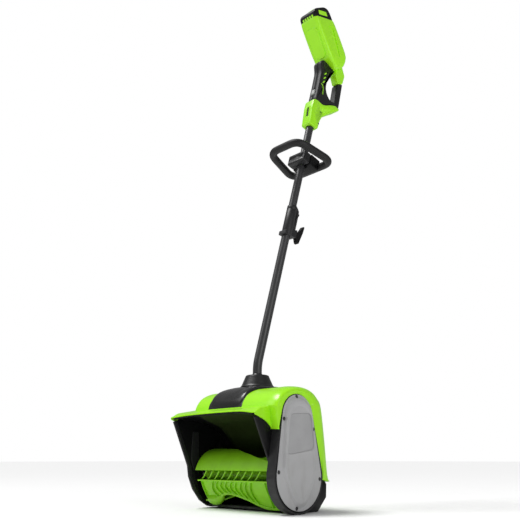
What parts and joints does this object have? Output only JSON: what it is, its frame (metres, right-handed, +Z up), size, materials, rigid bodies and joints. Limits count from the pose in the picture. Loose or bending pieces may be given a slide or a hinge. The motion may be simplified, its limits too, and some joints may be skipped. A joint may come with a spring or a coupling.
{
  "type": "cordless snow blower",
  "caption": "Cordless shovel-type snow blower: paddle rotor in an open scoop, belt drive under a side cover, leaning two-piece pole, loop front handle, rear trigger grip and slide-in battery.",
  "frame": {"origin": "centre of the flat underside of the rear skid, on the ground", "axes": "+Z up; -Y towards the snow intake; +Y towards the user; +X towards the belt drive cover"},
  "size_m": [0.3381, 0.5442, 1.5504],
  "materials": {
    "lime_shell": "satin moulded lime plastic",
    "lime_rotor": "moulded lime nylon, scuffed by snow",
    "black_moulding": "fine textured black",
    "dark_moulding": "satin charcoal",
    "black_grip": "soft textured overmould",
    "boot_rubber": "matt",
    "belt_rubber": "matt, ribbed",
    "grey_cover": "satin light grey",
    "grey_plastic": "satin",
    "pole_tube": "dark grey powder coat on steel tube",
    "screw_steel": "zinc plated",
    "shaft_steel": "ground",
    "bearing_steel": "polished",
    "motor_can": "plated steel can",
    "bracket_zinc": "zinc plated sheet",
    "circuit_board": "solder mask green",
    "scraper_plastic": "worn edge"
  },
  "bodies": {
    "machine_body": {"rear_skid": "black_moulding", "scraper_bar": "scraper_plastic", "drum_wall": "black_moulding", "side_plate_left": "dark_moulding", "side_plate_right": "dark_moulding", "bearing_left": "bearing_steel", "bearing_right": "bearing_steel", "hood_shell": "lime_shell", "visor": "lime_shell", "saddle_cover": "dark_moulding", "pole_boot": "boot_rubber", "belt_case": "black_moulding", "drive_cover": "grey_cover", "cover_screw_1": "screw_steel", "cover_screw_2": "screw_steel", "cover_screw_3": "screw_steel", "cover_screw_4": "screw_steel", "cover_screw_5": "screw_steel", "cover_screw_6": "screw_steel", "drive_belt": "belt_rubber", "motor": "motor_can", "motor_bracket": "bracket_zinc", "end_cap": "dark_moulding", "pole_socket": "black_moulding", "lower_tube": "pole_tube", "upper_tube": "pole_tube", "coupler_sleeve": "dark_moulding", "handle_socket": "lime_shell", "socket_screw_1": "screw_steel", "socket_screw_2": "screw_steel", "grip_left": "black_grip", "grip_right": "black_grip", "trigger_pin": "shaft_steel", "trigger_switch": "black_moulding", "guard_bar": "black_grip", "battery_housing": "lime_shell", "terminal_block": "dark_moulding", "controller_board": "circuit_board"},
    "rotor_body": {"rotor": "lime_rotor", "rotor_shaft": "shaft_steel", "rotor_pulley": "grey_plastic"},
    "motor_body": {"motor_shaft": "shaft_steel", "motor_pulley": "shaft_steel"},
    "knob_body": {"wing_knob": "black_moulding", "knob_bolt": "shaft_steel"},
    "snap_button_body": {"snap_button": "black_moulding"},
    "front_handle_body": {"loop_handle": "black_moulding", "loop_clamp": "dark_moulding", "loop_screw_left": "screw_steel", "loop_screw_right": "screw_steel"},
    "trigger_body": {"trigger": "dark_moulding"},
    "lock_button_body": {"lock_button": "grey_plastic"},
    "battery_body": {"battery_pack": "black_moulding"},
    "battery_latch_body": {"battery_latch": "lime_shell"}
  },
  "joints": [
    {"name": "rotor_spin", "type": "hinge", "parent": "machine_body", "child": "rotor_body", "pos_m": [0, -0.066, 0.079], "axis": [1, 0, 0], "continuous": true},
    {"name": "motor_spin", "type": "hinge", "parent": "machine_body", "child": "motor_body", "pos_m": [0.13, -0.066, 0.228], "axis": [1, 0, 0], "continuous": true},
    {"name": "knob_turn", "type": "hinge", "parent": "machine_body", "child": "knob_body", "pos_m": [0, 0.11396, 0.72537], "axis": [0, 0.9588, -0.284], "continuous": true},
    {"name": "snap_button_press", "type": "slide", "parent": "machine_body", "child": "snap_button_body", "axis": [0, -0.9588, 0.284], "range_m": [0, 0.0035], "stiffness_N_per_m": 600, "springref_m": -0.002},
    {"name": "front_handle_slide", "type": "slide", "parent": "machine_body", "child": "front_handle_body", "axis": [0, 0.284, 0.9588], "range_m": [-0.05, 0.04]},
    {"name": "trigger_squeeze", "type": "hinge", "parent": "machine_body", "child": "trigger_body", "pos_m": [0, 0.26323, 1.29441], "axis": [-1, 0, 0], "range_deg": [0, 9], "stiffness_Nm_per_rad": 0.6, "springref_deg": -6.88},
    {"name": "lock_button_press", "type": "slide", "parent": "machine_body", "child": "lock_button_body", "axis": [0, 0.9588, -0.284], "range_m": [0, 0.003], "stiffness_N_per_m": 400, "springref_m": -0.002},
    {"name": "battery_slide", "type": "slide", "parent": "machine_body", "child": "battery_body", "axis": [0, -0.4924, 0.8704], "range_m": [0, 0.12]},
    {"name": "battery_latch_press", "type": "slide", "parent": "battery_body", "child": "battery_latch_body", "axis": [0, 0.4924, -0.8704], "range_m": [0, 0.003], "stiffness_N_per_m": 500, "springref_m": -0.002}
  ],
  "couplings": [
    {"joint": "motor_spin", "follows": "rotor_spin", "ratio": 4.1}
  ]
}
